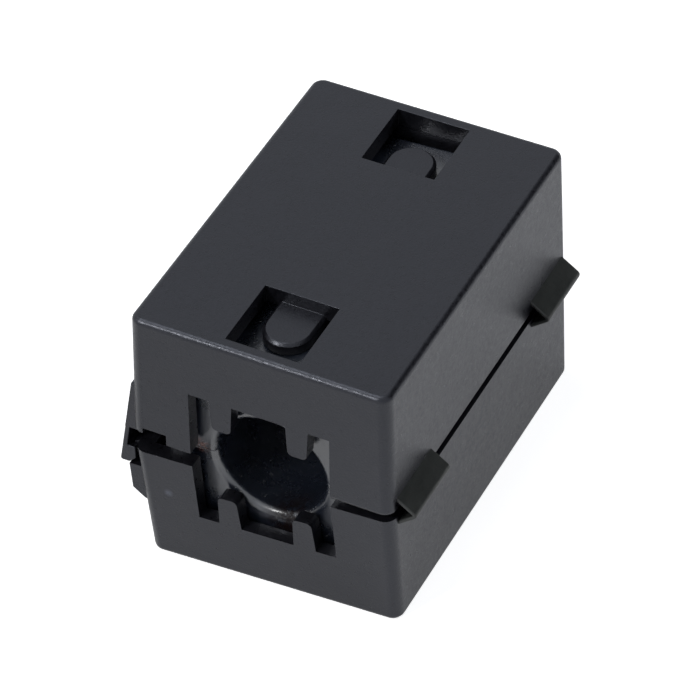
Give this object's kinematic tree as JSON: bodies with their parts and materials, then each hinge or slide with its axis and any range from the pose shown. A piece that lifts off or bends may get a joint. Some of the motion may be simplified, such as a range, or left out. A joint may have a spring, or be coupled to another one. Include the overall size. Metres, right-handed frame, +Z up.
{
  "type": "clip-on ferrite bead",
  "caption": "Split ferrite core in a hinged black snap case that clips round a cable, with toothed cable mouths and windows with spring fingers.",
  "frame": {"origin": "middle of the cable bore, on its axis, where the two half cores meet", "axes": "+Y along the cable bore, +Z up towards the lid, +X towards the hinge side"},
  "size_m": [0.0253, 0.032, 0.0242],
  "materials": {
    "case_plastic": "black nylon with a fine matt mould texture",
    "strap_plastic": "black nylon, smooth where it is thin",
    "ferrite": "ground and tumbled grey ferrite"
  },
  "bodies": {
    "base": {"lower_shell": "case_plastic", "lower_core": "ferrite", "front_hinge_strap": "strap_plastic", "rear_hinge_strap": "strap_plastic"},
    "lid": {"upper_shell": "case_plastic", "upper_core": "ferrite"},
    "front_latch": {"front_latch": "case_plastic"},
    "rear_latch": {"rear_latch": "case_plastic"}
  },
  "joints": [
    {"name": "lid_hinge", "type": "hinge", "parent": "base", "child": "lid", "pos_m": [0.01243, 0, 0], "axis": [0, 1, 0], "range_deg": [0, 176.7], "deforming": ["front_hinge_strap", "rear_hinge_strap"]},
    {"name": "front_latch_flex", "type": "hinge", "parent": "lid", "child": "front_latch", "pos_m": [-0.01188, 0, 0.0012], "axis": [0, 1, 0], "range_deg": [0, 10], "stiffness_Nm_per_rad": 0.02},
    {"name": "rear_latch_flex", "type": "hinge", "parent": "lid", "child": "rear_latch", "pos_m": [-0.01188, 0, 0.0012], "axis": [0, 1, 0], "range_deg": [0, 10], "stiffness_Nm_per_rad": 0.02}
  ]
}
